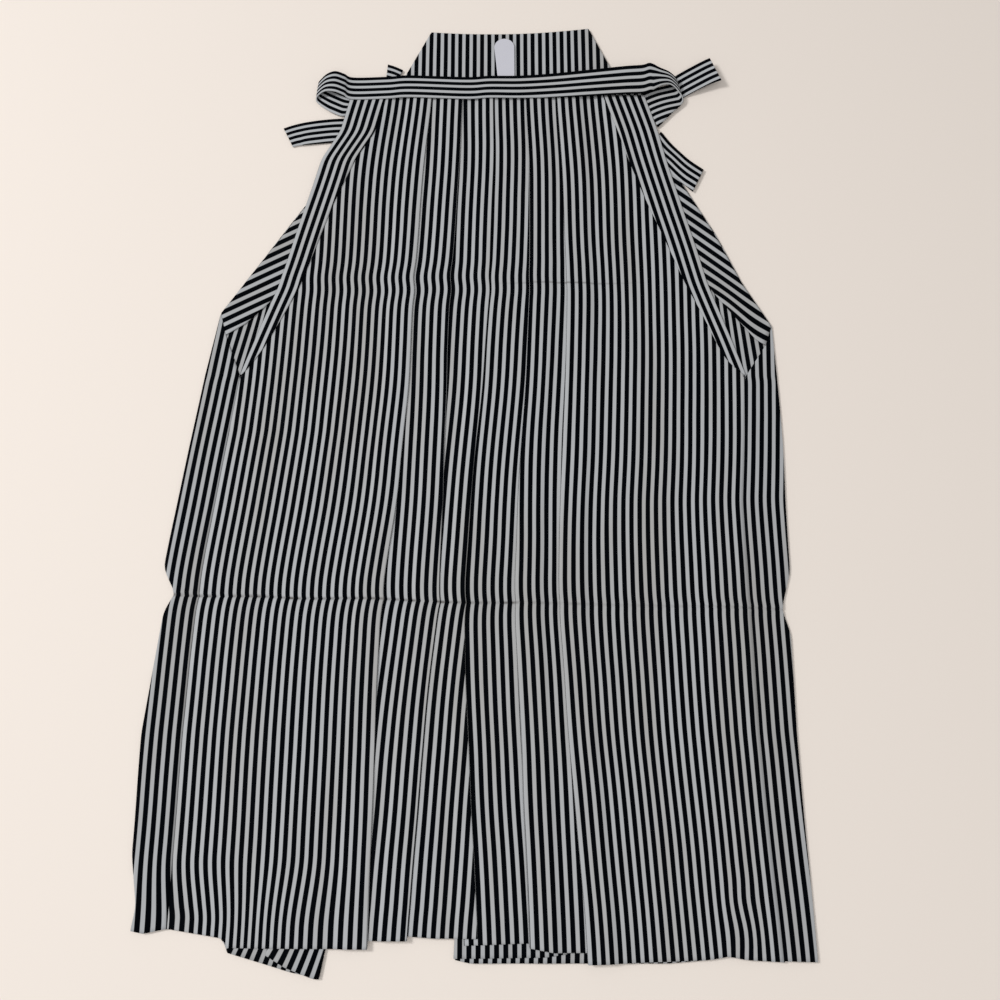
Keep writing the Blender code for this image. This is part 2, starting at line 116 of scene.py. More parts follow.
def striped_silk(name, shade=1.0):
    """The cloth's material; shade is painted shade that darkens the light stripes of the layers
    lying under the front.
    """
    material = bpy.data.materials.new(name)
    material.use_nodes = True
    tree = material.node_tree
    shader = tree.nodes["Principled BSDF"]
    cloth = node(tree, "ShaderNodeUVMap", {"uv_map": "cloth"})
    across = node(tree, "ShaderNodeSeparateXYZ", None, {0: cloth}, 0)
    along = node(tree, "ShaderNodeSeparateXYZ", None, {0: cloth}, 1)
    # Threads waver a little, and each runs the length of the cloth.
    slow = node(tree, "ShaderNodeCombineXYZ", None, {0: across * 40, 1: along * 6})
    waver = node(tree, "ShaderNodeTexNoise", None, {"Vector": slow, "Scale": 1.0, "Detail": 2.0})
    fine = node(tree, "ShaderNodeCombineXYZ", None, {0: across * 2600, 1: along * 35})
    threads = node(tree, "ShaderNodeTexNoise", None, {"Vector": fine, "Scale": 1.0, "Detail": 1.0})
    repeat = (across + (waver - 0.5) * 0.0009) * (PER_METRE / STRIPE) + 0.5
    off_centre = (repeat.math("FRACT") - 0.5).math("ABSOLUTE") + (threads - 0.5) * 0.02
    light = step_between(tree, off_centre, DARK_SHARE / 2 - STRIPE_SOFT,
                         DARK_SHARE / 2 + STRIPE_SOFT)
    # The light stripes are grey and white threads mixed, warmer in worn places.
    blotch = node(tree, "ShaderNodeTexNoise", None,
                  {"Vector": slow, "Scale": 0.45, "Detail": 3.0, "Roughness": 0.6})
    grey = mix(tree, step_between(tree, blotch, 0.42, 0.68),
               tuple(c * shade for c in GREY[:3]) + (1,),
               tuple(c * shade for c in GREY_WARM[:3]) + (1,))
    grey = mix(tree, step_between(tree, threads, 0.35, 0.75) * 0.22, grey, PALE_THREAD)
    ink = mix(tree, step_between(tree, blotch, 0.40, 0.75), INK, INK_FADED)
    # Painted shade along the storage creases, with some wear, turns the light stripes warm dark
    # brown.
    crease_shade_and_wear = node(tree, "ShaderNodeAttribute", {"attribute_name": "crease_shade_and_wear"}, None, 2)
    colour = mix(tree, light, ink, mix(tree, crease_shade_and_wear, grey, CREASE_SHADE_AND_WEAR))
    tree.links.new(colour.socket, shader.inputs["Base Color"])
    roughness = 0.72 + light * 0.08 + (threads - 0.5) * 0.15
    tree.links.new(roughness.socket, shader.inputs["Roughness"])
    # Weft ribs, finer than a millimetre, cross the stripes.
    ribs = (along * (2 * PER_METRE * math.pi / RIB)).math("SINE")
    grain = ribs * 0.35 + threads * 0.9 + light * 0.25
    bump = node(tree, "ShaderNodeBump", None,
                {"Strength": 0.16, "Distance": RIB_HEIGHT, "Height": grain})
    tree.links.new(bump.socket, shader.inputs["Normal"])
    shader.inputs["Specular IOR Level"].default_value = 0.02
    return material


outer_silk = striped_silk("striped_silk")
# The back legs and gusset lie under the front and take a copy with painted shade.
shaded_under_silk = striped_silk("striped_silk_shaded_under", UNDER_LAYER_SHADE)

# ---------------------------------------------------------------- the two back legs
# Each back leg lies on the floor, turns over at the side and comes back to the side
# seam as a strip beside the front. Above the slit its slanted edge is turned in as a
# facing, whose stripes cross at the angle that the slanted fold gives them.

MM = 0.001
CENTRE_X = -25.7
CENTRE_Y = 59.0
WAIST = 475
TIE_LEVEL = 425
FLANK = 390
UPPER_CREASE = 240
SLIT_FOOT = 132
THIGH = 0
KNEE_CREASE = -105
CALF = -230
HEM = -420
HEM_TURN = -385         # the hems' uneven line is worked in below this level
BACK_TOP = 483

# The cloth is thinner than its solids, so its layers lie closer.
CLOTH = 0.5
STEP = 0.86
FLOOR_LAYER = 0.3
FIRST = FLOOR_LAYER + STEP
SECOND = FIRST + STEP
THIRD = SECOND + STEP
BEND = STEP / 2
SEAM_GAP = 0.1

# How the grids are divided.
FLOOR_POINTS = 46       # across a back leg's floor layer
STRIP_POINTS = 9        # across its turned strip
SHRUNK = 0.04           # from point to point of the strip above its end
CREASE_NEAR = 7         # this near a crease the levels are CREASE_STEP apart
CREASE_STEP = 0.8
ROUND_NEAR = 20         # and this near, ROUND_STEP
ROUND_STEP = 2.0
PLAIN_STEP = 5.0

FRONT_COLUMNS = ("y", "right", "p1", "p2", "p3", "p4", "p5", "left")
FRONT_EDGES = (
    (WAIST, -166, -76, -42, -8, 29, 64, 161),
    (TIE_LEVEL, -177, -81, -44, -7, 31, 67, 175),
    (FLANK, -197, -85, -45, -6, 33, 69, 183),
    (UPPER_CREASE, -235, -92, -53, -11, 32, 72, 221),
    (SLIT_FOOT, -272, -95, -56, -18, 27, 69, 257),
    (THIGH, -288, -104, -58, -30, 18, 61, 247),
    (KNEE_CREASE, -300, -118, -61, -36, 14, 58, 247),
    (CALF, -303, -119, -73, -31, 20, 65, 248),
    (HEM, -303, -120, -85, -20, 27, 80, 257),
)
RIGHT_TURN = ((SLIT_FOOT, 37), (-70, 38), (-95, 24), (-115, 31), (CALF, 39), (-340, 38),
              (-385, 30), (-405, 33))
LEFT_TURN = ((SLIT_FOOT, 33), (60, 39), (THIGH, 42), (-75, 41), (-112, 30), (-135, 37),
             (CALF, 35), (HEM, 30))
RIGHT_SLANT = ((BACK_TOP, -116), (205, -297), (180, -301), (SLIT_FOOT, -309))
LEFT_SLANT = ((BACK_TOP, 138), (350, 207), (300, 233), (240, 260), (190, 288), (SLIT_FOOT, 290))
RIGHT_FACING = ((BACK_TOP, -112), (FLANK, -147), (330, -190), (265, -207), (211, -252),
                (193, -270), (180, -290))
LEFT_FACING = ((BACK_TOP, 124), (330, 182), (265, 205), (226, 231), (199, 251), (175, 270),
               (168, 280))
# A facing's last stretch climbs onto the strip, from one share of its length over another.
FACING_RISE = 0.62
RISE_FROM = 0.70
RISE_OVER = 0.2
# The slope of each facing's stripes, and the share by which the slope narrows them.
RIGHT_SLOPE = 0.53
RIGHT_NARROW = 0.79
LEFT_SLOPE = 0.80
LEFT_NARROW = 0.71
# Inside the slits the floor layer's stripes are drawn outward, over this height, from
# this far out and growing over this width.
DRAWN_HEIGHT = 110
DRAWN_FROM = 190
DRAWN_OVER = 70
CENTRE_SEAM = ((BACK_TOP, 0), (THIGH, -18))
RIGHT_INSEAM = ((THIGH, -18), (-385, -149), (-405, -165))
LEFT_INSEAM = ((THIGH, -18), (HEM, -41))
BACK_RIGHT_HEM = ((-340, -405), (-324, -408), (-304, -404), (-252, -412), (-247, -424),
                  (-190, -440), (-165, -445))
BACK_LEFT_HEM = ((-41, -430), (-28, -433), (150, -433), (190, -430), (207, -426),
                 (222, -430), (290, -432))


def at(table, y, column=1):
    """A table's column at level y, straight between its rows and level past them."""
    for upper, lower in zip(table, table[1:]):
        if y >= lower[0]:
            share = max((upper[0] - y) / (upper[0] - lower[0]), 0)
            return upper[column] + (lower[column] - upper[column]) * share
    return table[-1][column]


def eased(table, y, column=1, reach=24):
    """The same with its corners rounded over reach."""
    return sum(at(table, y + reach * share, column) for share in (-1, -0.5, 0, 0.5, 1)) / 5


def along_line(points, x):
    """Height y of a line of (x, y) points at x, level past its ends."""
    points = sorted(points)
    if x <= points[0][0]:
        return points[0][1]
    for (x0, y0), (x1, y1) in zip(points, points[1:]):
        if x <= x1:
            return y0 + (y1 - y0) * (x - x0) / (x1 - x0)
    return points[-1][1]


def edge(name, y):
    """A front edge or pleat; the pleats run in softer curves than the sides."""
    reach = 6 if name in ("right", "left") else 24
    return eased(FRONT_EDGES, y, FRONT_COLUMNS.index(name), reach)


def hump(value, width):
    """1 at zero, falling softly to nothing past width."""
    return math.exp(-(value / width) ** 2)


def crease_level(x, level, slope, wander):
    """Where a storage crease runs at x: nearly level, a little uneven."""
    return level + slope * x + wander * noise.noise(Vector((x * 0.013, level * 0.1, 3.0)))


def above_knee(x, y):
    """How far a point lies above the knee crease's own line."""
    return y - crease_level(x, KNEE_CREASE, -0.025, 3.0)


def above_upper(x, y):
    """How far a point lies above the upper crease's own line."""
    return y - crease_level(x, UPPER_CREASE, 0.006, 2.0)


def crease_depth(x, level):
    """A crease is sharper in some stretches than in others."""
    return 0.72 + 0.55 * noise.noise(Vector((x * 0.021, level * 0.37, 8.0)))


def lie(x, y):
    """How far the stack of cloth stands off the floor at a point."""
    broad = noise.noise(Vector((x * 0.008, y * 0.0045, 1.0)))
    long_waves = noise.noise(Vector((x * 0.022, y * 0.0035, 5.0)))
    height = 0.45 + 0.40 * broad + 0.30 * long_waves
    knee = above_knee(x, y)
    depth = crease_depth(x, KNEE_CREASE)
    height += depth * (2.0 * hump(knee - 1.5, 5.5) - 1.6 * hump(knee, 1.3))
    upper = above_upper(x, y)
    middle = hump(x + 5, 150)
    depth = crease_depth(x, UPPER_CREASE) * middle
    height += depth * (0.8 * hump(upper - 1.5, 5.0) - 0.6 * hump(upper, 1.2))
    height -= 0.8 * hump(upper, 1.2) * hump(x - 75, 45)
    hem = max(0, (HEM_TURN - y) / 40)
    height += hem * (0.7 + 0.7 * noise.noise(Vector((x * 0.035, 0.0, 9.0))))
    return max(height, 0)


def sway(x, y):
    """How far the cloth shifts sideways where it was creased, and as it lies."""
    knee = above_knee(x, y)
    upper = above_upper(x, y) / 14
    jog = -2.6 * upper * math.exp(-upper * upper) * hump(x + 100, 120)
    jog += (1.5 - 1.1 * math.tanh(x / 60)) * math.exp(-abs(knee) / 10)
    return jog + 0.9 * noise.noise(Vector((x * 0.010, y * 0.012, 2.0)))


def curl(x, y):
    """How far the stripes bend sideways near the hems, where they lay turned up."""
    low = max(0, -340 - y) / 65
    low = low * low * (3 - 2 * low) if low < 1 else 1
    ripple = 1.5 * math.sin((y + 365) / 8) * hump(x - 222, 15)
    return low * (8.0 * hump(x + 275, 45) - 6.0 * hump(x + 185, 40) + ripple)


def crease_shade_and_wear_at(x, y):
    """How much painted shade, with some wear, darkens the cloth along the storage creases, from 0
    to 1.
    """
    knee = above_knee(x, y)
    upper = above_upper(x, y)
    patchy = max(0, noise.noise(Vector((x * 0.06, 1.0, 4.0))) + 0.35)
    # The painted crease shade is stronger towards the wearer's right.
    fading = 1 / (1 + math.exp((x - 20) / 25))
    crease_shade_and_wear = (0.25 + fading) * patchy * hump(knee, 1.3)
    return min(crease_shade_and_wear + 0.6 * hump(upper, 0.9) * hump(x - 75, 50), 1)


def laid(x, y, z):
    """A point of the laid cloth in the frame's metres."""
    return ((x + sway(x, y) - CENTRE_X) * MM, (y - CENTRE_Y) * MM, (z + lie(x, y)) * MM)


def placed(x, y, z):
    """A point that the creases don't reach, in the frame's metres."""
    return ((x - CENTRE_X) * MM, (y - CENTRE_Y) * MM, z * MM)


def levels(top, foot):
    """Levels of a piece's crossings from top to foot, closer at the creases."""
    found = [top]
    while found[-1] > foot:
        y = found[-1]
        near = min(abs(y - KNEE_CREASE), abs(y - UPPER_CREASE))
        if near < CREASE_NEAR:
            step = CREASE_STEP
        else:
            step = ROUND_STEP if near < ROUND_NEAR else PLAIN_STEP
        found.append(max(y - step, foot))
    return found


def hem_shift(y, foot, line_y):
    """Level y moved so that the level foot falls on a hem's own line."""
    share = min(max((HEM_TURN - y) / (HEM_TURN - foot), 0), 1)
    return y + (line_y - foot) * share


class Sheet:
    """Grids of cloth points with cloth coordinates, gathered into one mesh."""

    def __init__(self):
        self.points = []
        self.faces = []
        self.cloth = []
        self.crease_shade_and_wear = []

    def grid(self, rows, put=laid):
        """Add a grid; a row is a list of (x, y, z, across, along), in millimetres."""
        first = len(self.points)
        width = len(rows[0])
        for row in rows:
            for x, y, z, across, length in row:
                self.points.append(put(x, y, z))
                self.cloth.append((across * MM, length * MM))
                # Painted crease shade and wear, on laid cloth only.
                self.crease_shade_and_wear.append(crease_shade_and_wear_at(x, y) if put is laid else 0)
        for row in range(len(rows) - 1):
            for column in range(width - 1):
                corner = first + row * width + column
                self.faces.append((corner, corner + width, corner + width + 1, corner + 1))

    def piece(self, name, nodes, material, thickness=CLOTH):
        """Make the object, thicken it to cloth, hang it on the root and hide its solids."""
        mesh = bpy.data.meshes.new(name)
        mesh.from_pydata(self.points, [], self.faces)
        layer = mesh.uv_layers.new(name="cloth")
        for loop in mesh.loops:
            layer.data[loop.index].uv = self.cloth[loop.vertex_index]
        mesh.attributes.new("crease_shade_and_wear", "FLOAT", "POINT").data.foreach_set("value", self.crease_shade_and_wear)
        mesh.shade_smooth()
        mesh.materials.append(material)
        made = bpy.data.objects.new(name, mesh)
        bpy.context.scene.collection.objects.link(made)
        wall = made.modifiers.new("cloth", "SOLIDIFY")
        wall.thickness = thickness * MM
        wall.offset = 0.0
        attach(made, "root")
        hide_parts(*nodes)
        return made


def spaced(start, end, count):
    return [start + (end - start) * index / count for index in range(count + 1)]


def half_turn(x, inward, z_from, z_to, steps=6):
    """Points of a rounded flat fold at x, whose cloth lies on the side inward."""
    middle = (z_from + z_to) / 2
    radius = (z_to - z_from) / 2
    angles = [math.radians(angle) for angle in spaced(-90, 90, steps)]
    return [(x + inward * BEND * (1 - math.cos(angle)), middle + radius * math.sin(angle))
            for angle in angles]


def back_leg(name, outward, seam, turn, slant, facing, inseam, hem, lean, strip_lean,
             strip_start):
    """A back leg, its turned strip and its facing; outward is -1 on the right.

    lean and strip_lean are how fast the stripes of the floor layer and the strip drift
    outward above the slit, and strip_start is where the strip's first stripe falls.
    """
    sheet = Sheet()
    foot = turn[-1][0]
    rows = []
    # The facing's fold ends at the slant's corner; below it a short edge runs inward.
    fold_line = [(x, y) for y, x in slant if y > facing[-1][0]]
    shoulder = fold_line[-1]
    free_line = [(x, y) for y, x in facing]
    for y in levels(BACK_TOP, foot):
        if y > SLIT_FOOT:
            fold = at(slant, y)
            seam_foot = (SLIT_FOOT, edge(seam, SLIT_FOOT) + outward * SEAM_GAP)
            free = at((shoulder[::-1], facing[-1], seam_foot), y)
        else:
            fold = edge(seam, y) + outward * eased(turn, y, reach=5)
            free = edge(seam, y) + outward * SEAM_GAP
        inner = at(CENTRE_SEAM, y) if y > THIGH else at(inseam, y)
        inner += outward * SEAM_GAP
        line = [(x, FLOOR_LAYER) for x in spaced(inner, fold - outward * BEND, FLOOR_POINTS)]
        line += half_turn(fold, -outward, FLOOR_LAYER, FIRST)[1:]
        if y < shoulder[1]:
            strip = spaced(fold - outward * BEND, free, STRIP_POINTS)
            line += [(x, FIRST) for x in strip[1:]]
        else:
            line += [(fold - outward * (BEND + SHRUNK * step), FIRST)
                     for step in range(1, STRIP_POINTS + 1)]
        row = []
        for index, (x, z) in enumerate(line):
            if index <= FLOOR_POINTS:
                # The floor layer shows inside the slit, where it is drawn outward.
                drawn = max(0, min(y - SLIT_FOOT, DRAWN_HEIGHT)) * lean
                near = min(max((outward * x - DRAWN_FROM) / DRAWN_OVER, 0), 1)
                hung = at(inseam, min(y, HEM_TURN)) - at(inseam, HEM_TURN)
                across = x - hung + outward * 3 + outward * drawn * near
            else:
                guide = edge(seam, min(y, SLIT_FOOT)) - outward * strip_lean * max(y - SLIT_FOOT, 0)
                across = x - guide - outward * strip_start - curl(x, y)
            row.append((x, hem_shift(y, foot, along_line(hem, x)), z, across, y))
        rows.append(row)
    sheet.grid(rows)
    facing_rows = []
    for share in spaced(0, 1, 60):
        x0, y0 = along_path(fold_line, share)
        x1, y1 = along_path(free_line, share)
        height = FIRST + FACING_RISE * min(max((share - RISE_FROM) / RISE_OVER, 0), 1)
        row = []
        for part in spaced(0, 1, 16):
            x = x0 + (x1 - x0) * part - outward * BEND * (1 - part)
            y = y0 + (y1 - y0) * part
            if outward < 0:
                across = (y - RIGHT_SLOPE * x) * RIGHT_NARROW + STRIPE / 2
            else:
                fall = y + LEFT_SLOPE * (x - 210)
                wave = 2.8 * math.sin((x - 222) / 62 * math.tau) * hump(fall - 228, 25)
                across = (fall - wave) * LEFT_NARROW
            row.append((x, y, height, across, x))
        facing_rows.append(row)
    sheet.grid(facing_rows)
    return sheet.piece(name + "_cloth", [name], shaded_under_silk)


def along_path(points, share):
    """The point at a share of a path's length."""
    lengths = [math.dist(a, b) for a, b in zip(points, points[1:])]
    left = share * sum(lengths)
    for (x0, y0), (x1, y1), length in zip(points, points[1:], lengths):
        if left <= length:
            return x0 + (x1 - x0) * left / length, y0 + (y1 - y0) * left / length
        left -= length
    return points[-1]


back_right = back_leg("back_right_leg", -1, "right", RIGHT_TURN, RIGHT_SLANT,
                      RIGHT_FACING, RIGHT_INSEAM, BACK_RIGHT_HEM, lean=0.22, strip_lean=0.13,
                      strip_start=4.0)
back_left = back_leg("back_left_leg", 1, "left", LEFT_TURN, LEFT_SLANT,
                     LEFT_FACING, LEFT_INSEAM, BACK_LEFT_HEM, lean=0.10, strip_lean=-0.04,
                     strip_start=0.5)

# ---------------------------------------------------------------- the gusset
# One crotch panel of the same silk, folded in two between the legs. Only its hem
# shows, between the back legs' hems and the front's.

GUSSET_TOP = -62
GUSSET_RIGHT = ((GUSSET_TOP, -40, -132), (HEM, -163, -212))
GUSSET_LEFT = ((GUSSET_TOP, -22, 40), (HEM, -42, 62))
GUSSET_RIGHT_HEM = ((-214, -425), (-195, -436), (-168, -446))
GUSSET_LEFT_HEM = ((-42, -429), (40, -428), (62, -425))

# shift is where a half's stripes fall, and lean how far they drift at the hem.
for side, edges, hem, shift, lean in (("right", GUSSET_RIGHT, GUSSET_RIGHT_HEM, 4.6, 20),
                                      ("left", GUSSET_LEFT, GUSSET_LEFT_HEM, 3.2, 0)):
    sheet = Sheet()
    rows = []
    for y in levels(GUSSET_TOP, HEM):
        row = []
        leaning = shift + lean * max(0, HEM_TURN - y) / (HEM_TURN - HEM)
        for x in spaced(at(edges, y, 1), at(edges, y, 2), 16):
            row.append((x, hem_shift(y, HEM, along_line(hem, x)), FIRST, x + leaning, y))
        rows.append(row)
    sheet.grid(rows)
    half = sheet.piece("gusset_%s_cloth" % side, ["gusset_%s_half" % side], shaded_under_silk)

# ---------------------------------------------------------------- the two front legs
# Each front leg is two widths of the silk, sewn, pressed into knife pleats that all
# point to the centre, and tacked under the band. The stripes of a panel run parallel
# to its own pleat's edge, which falls where a light stripe ends.

FOLD = 20.0
CENTRE_FOLD = 12.0
RAMP = 9.0
CENTRE_RAMP = 5.0
CLEAR = 1.2
CREST = 14.0
OUTER_STRIPES = 21      # whole repeats across an outer panel
OUTER_REST = 12.5       # width of the panel that they don't fill
OUTER_RIGHT = 6.3       # from the right outer panel's pleat to its first dark stripe
OUTER_LEFT = 6.0        # the same on the left
SEAM_LEVEL = SLIT_FOOT - 60     # the stripes keep to the seam below this level
SPREAD = {"right": 0.05, "left": 0.02}      # the cloth is drawn out this much at the flank
SPREAD_LEVEL = 375
SPREAD_REACH = 70
SIDE_HEIGHTS = ((WAIST, THIRD), (FLANK, THIRD), (320, SECOND), (180, SECOND),
                (SLIT_FOOT, FIRST), (HEM, FIRST))
MIDDLE_HEIGHTS = ((WAIST, FIRST), (THIGH, FIRST), (-60, SECOND), (HEM, SECOND))
REACH = ((WAIST, -110, 103), (FLANK, -137, 122), (SLIT_FOOT, -200, 190),
         (THIGH, -160, 120), (-60, -150, 100), (HEM, -219, 114))
RIGHT_HEMS = (
    ((-303, -404), (-252, -412), (-247, -420), (-120, -421)),
    ((-120, -414), (-85, -414)),
    ((-85, -410), (-60, -412), (-20, -412)),
)
LEFT_HEMS = (
    ((80, -434), (190, -430), (207, -427), (222, -430), (257, -432)),
    ((27, -420), (50, -424), (100, -424)),
    ((-33, -418), (27, -416)),
)
# Where the first dark stripe's middle lies from the pleat's edge, by level.
SECOND_RIGHT_STRIPE = ((WAIST, -2), (180, -1.5), (60, -1), (KNEE_CREASE, -5), (HEM, -4))
THIRD_RIGHT_STRIPE = ((WAIST, -6), (300, -8), (180, -5), (60, -2.5), (HEM, -2.5))
SECOND_LEFT_STRIPE = ((WAIST, 2), (60, 2), (-60, 6), (HEM, 7))
CENTRE_STRIPE = ((WAIST, 8), (180, 8), (KNEE_CREASE, 11), (HEM, 11))


def ramp_points(x0, z0, x1, z1, count):
    """A soft climb from one height to another."""
    return [(x0 + (x1 - x0) * t, z0 + (z1 - z0) * t * t * (3 - 2 * t))
            for t in spaced(0, 1, count)]


def knife_pleat(path, pleat, inward, low, panel):
    """Carry the path up a ramp, out to the pleat's edge, back under it and down."""
    back = pleat + inward * FOLD
    first = low + STEP
    top = low + 2 * STEP
    foot_x = back + inward * (CLEAR + RAMP)
    start = path[-1]
    for x in spaced(start[0], foot_x, 8)[1:]:
        path.append((x, low, panel))
    climb = ramp_points(foot_x, low, back + inward * CLEAR, top, 6)[1:]
    path += [(x, z, panel) for x, z in climb]
    path += [(x, top, panel) for x in spaced(back + inward * CLEAR, pleat + inward * BEND, 7)[1:]]
    hidden = half_turn(pleat, inward, top, first)[1:]
    hidden += [(x, first) for x in spaced(pleat + inward * BEND, back - inward * BEND, 4)[1:]]
    hidden += half_turn(back, -inward, first, low)[1:]
    for index, (x, z) in enumerate(hidden):
        path.append((x, z, panel + (index + 1) / (len(hidden) + 1)))
    path.append((back - inward * 2 * BEND, low, panel + 1))


def side_of_front(y, outer, reach, low):
    """Section of an outer panel, from its side edge in to the middle's height."""
    side = 1 if outer > reach else -1
    high = at(SIDE_HEIGHTS, y)
    path = [(x, high, 0) for x in spaced(outer, reach + side * CREST, 20)]
    path += [(x, z, 0) for x, z in ramp_points(reach + side * CREST, high, reach, low, 4)[1:]]
    return path


def right_section(y):
    low = eased(MIDDLE_HEIGHTS, y)
    p3 = edge("p3", y)
    back = p3 - CENTRE_FOLD
    top = low + 2 * STEP
    path = side_of_front(y, edge("right", y), at(REACH, y, 1), low)
    knife_pleat(path, edge("p1", y), -1, low, 0)
    knife_pleat(path, edge("p2", y), -1, low, 1)
    foot_x = back - CLEAR - CENTRE_RAMP
    path += [(x, low, 2) for x in spaced(path[-1][0], foot_x, 6)[1:]]
    path += [(x, z, 2) for x, z in ramp_points(foot_x, low, back - CLEAR, top, 5)[1:]]
    path += [(x, top, 2) for x in spaced(back - CLEAR, p3 - BEND, 6)[1:]]
    path += [(x, z, 2) for x, z in half_turn(p3, -1, top, low + STEP)[1:]]
    path += [(x, low + STEP, 2) for x in spaced(p3 - BEND, back, 3)[1:]]
    return path


def left_section(y):
    low = eased(MIDDLE_HEIGHTS, y)
    p3 = edge("p3", y)
    path = side_of_front(y, edge("left", y), at(REACH, y, 2), low)
    knife_pleat(path, edge("p5", y), 1, low, 0)
    knife_pleat(path, edge("p4", y), 1, low, 1)
    path += [(x, low, 2) for x in spaced(path[-1][0], p3 - CENTRE_FOLD, 14)[1:]]
    return path


def outer_repeat(y, pleat, seam):
    """Width of a stripe's repeat in an outer panel, which its seam edges below."""
    low = min(y, SEAM_LEVEL)
    repeat = (abs(edge(seam, low) - edge(pleat, low)) - OUTER_REST) / OUTER_STRIPES
    return repeat * (1 + SPREAD[seam] * hump(y - SPREAD_LEVEL, SPREAD_REACH))


def right_across(y, panel, x):
    if panel == 0:
        place = x - edge("p1", y) + OUTER_RIGHT - curl(x, y)
        return place * STRIPE / outer_repeat(y, "p1", "right")
    if panel == 1:
        return x - edge("p2", y) - eased(SECOND_RIGHT_STRIPE, y)
    # Below the knee crease this panel hangs with the second pleat and runs under the
    # centre one.
    hung = edge("p2", y) + edge("p3", KNEE_CREASE) - edge("p2", KNEE_CREASE)
    return x - (edge("p3", y) if y > KNEE_CREASE else hung) - eased(THIRD_RIGHT_STRIPE, y)


def left_across(y, panel, x):
    if panel == 0:
        place = x - edge("p5", y) - OUTER_LEFT - curl(x, y)
        return place * STRIPE / outer_repeat(y, "p5", "left")
    if panel == 1:
        return x - edge("p4", y) - eased(SECOND_LEFT_STRIPE, y)
    return x - edge("p3", y) - eased(CENTRE_STRIPE, y)


def hem_of(hems, panel, x):
    """A hem's y at x, blended between two panels' hems inside a fold."""
    before = int(panel)
    share = panel - before
    if share == 0:
        return along_line(hems[before], x)
    return along_line(hems[before], x) * (1 - share) + along_line(hems[before + 1], x) * share


def front_leg(name, section, across, hems):
    sheet = Sheet()
    rows = []
    for y in levels(WAIST, HEM):
        path = section(y)
        places = [across(y, panel, x) if panel == int(panel) else None for x, z, panel in path]
        # Inside a fold the cloth coordinates run evenly from panel to panel.
        for index, place in enumerate(places):
            if place is None:
                after = next(i for i in range(index, len(places)) if panel_shows(path[i]))
                start = places[index - 1]
                places[index] = start + (across(y, path[after][2], path[after][0]) - start) / (
                    after - index + 1)
        rows.append([(x, hem_shift(y, HEM, hem_of(hems, panel, x)), z, place, y)
                     for (x, z, panel), place in zip(path, places)])
    sheet.grid(rows)
    return sheet.piece(name + "_cloth", [name], outer_silk)


def panel_shows(point):
    return point[2] == int(point[2])


front_left = front_leg("front_left_leg", left_section, left_across, LEFT_HEMS)
front_right = front_leg("front_right_leg", right_section, right_across, RIGHT_HEMS)

# ---------------------------------------------------------------- the side leaves
# Above each slit the front's side edge is folded back onto it in a long leaf that
# narrows to the slit's foot. Its stripes run parallel to the folded edge.

LEAF_TOP = 472
LEAF_FOOT = 135
LEAF_PROUD = 1.0
LEAF_FIRST = 6.1        # from the folded edge to the first dark stripe's middle
LEAF_ROUND = 8          # a leaf's inner edge is rounded over this, except at its foot
RIGHT_LEAF = ((LEAF_TOP, 40), (FLANK, 38), (340, 30), (250, 24), (205, 19), (170, 14), (148, 8),
              (LEAF_FOOT, 1.5))
LEFT_LEAF = ((LEAF_TOP, 47), (FLANK, 42), (340, 37), (250, 25), (205, 19), (170, 17), (148, 13),
             (LEAF_FOOT, 1.5))

for side, outward, widths in (("right", -1, RIGHT_LEAF), ("left", 1, LEFT_LEAF)):
    sheet = Sheet()
    rows = []
    for y in levels(LEAF_TOP, LEAF_FOOT):
        outer = edge(side, y) + outward * LEAF_PROUD
        rounded = y > LEAF_FOOT + LEAF_ROUND
        width = eased(widths, y, reach=LEAF_ROUND) if rounded else at(widths, y)
        under = at(SIDE_HEIGHTS, y)
        height = under + STEP
        row = []
        for x, z in half_turn(outer, -outward, under, height)[2:]:
            row.append((x, y, z, x - outer + outward * LEAF_FIRST, y))
        for x in spaced(outer - outward * BEND, outer - outward * width, 12)[1:]:
            row.append((x, y, height, x - outer + outward * LEAF_FIRST, y))
        rows.append(row)
    sheet.grid(rows)
    leaf = sheet.piece("%s_side_leaf" % side, ["%s_side_fold" % side], outer_silk)

# ---------------------------------------------------------------- the bar tacks
# A short bar of dark thread, whipped across each slit's foot, keeps the seam from
# tearing when the wearer reaches into the opening.

TACK_LONG = 5.0
TACK_WIDE = 1.1
TACK_HIGH = 0.8
PALE_INK = (0.02, 0.02, 0.025, 1)

thread = bpy.data.materials.new("dark_thread")
thread.use_nodes = True
tree = thread.node_tree
shader = tree.nodes["Principled BSDF"]
where = node(tree, "ShaderNodeTexCoord", output=3)
turns = node(tree, "ShaderNodeTexNoise", None, {"Vector": where, "Scale": 1500.0})
tree.links.new(mix(tree, turns, INK, PALE_INK).socket, shader.inputs["Base Color"])
shader.inputs["Roughness"].default_value = 0.8

for side, angle in (("right", 20), ("left", -20)):
    bpy.ops.mesh.primitive_uv_sphere_add(segments=24, ring_count=12, radius=0.5)
    tack = bpy.context.object
    tack.name = side + "_bar_tack"
    tack.scale = (TACK_LONG * MM, TACK_WIDE * MM, TACK_HIGH * MM)
    tack.rotation_euler.z = math.radians(angle)
    tack.location = laid(edge(side, SLIT_FOOT), SLIT_FOOT + 1, FIRST + CLOTH)
    tack.data.materials.append(thread)
    tack.data.shade_smooth()
    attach(tack, "root")

# ---------------------------------------------------------------- the waist board
# A stiff trapezoid of pressed board, covered in the silk with its stripes upright,
# that stands at the back of the waist. Its edges are rounded where the silk turns.

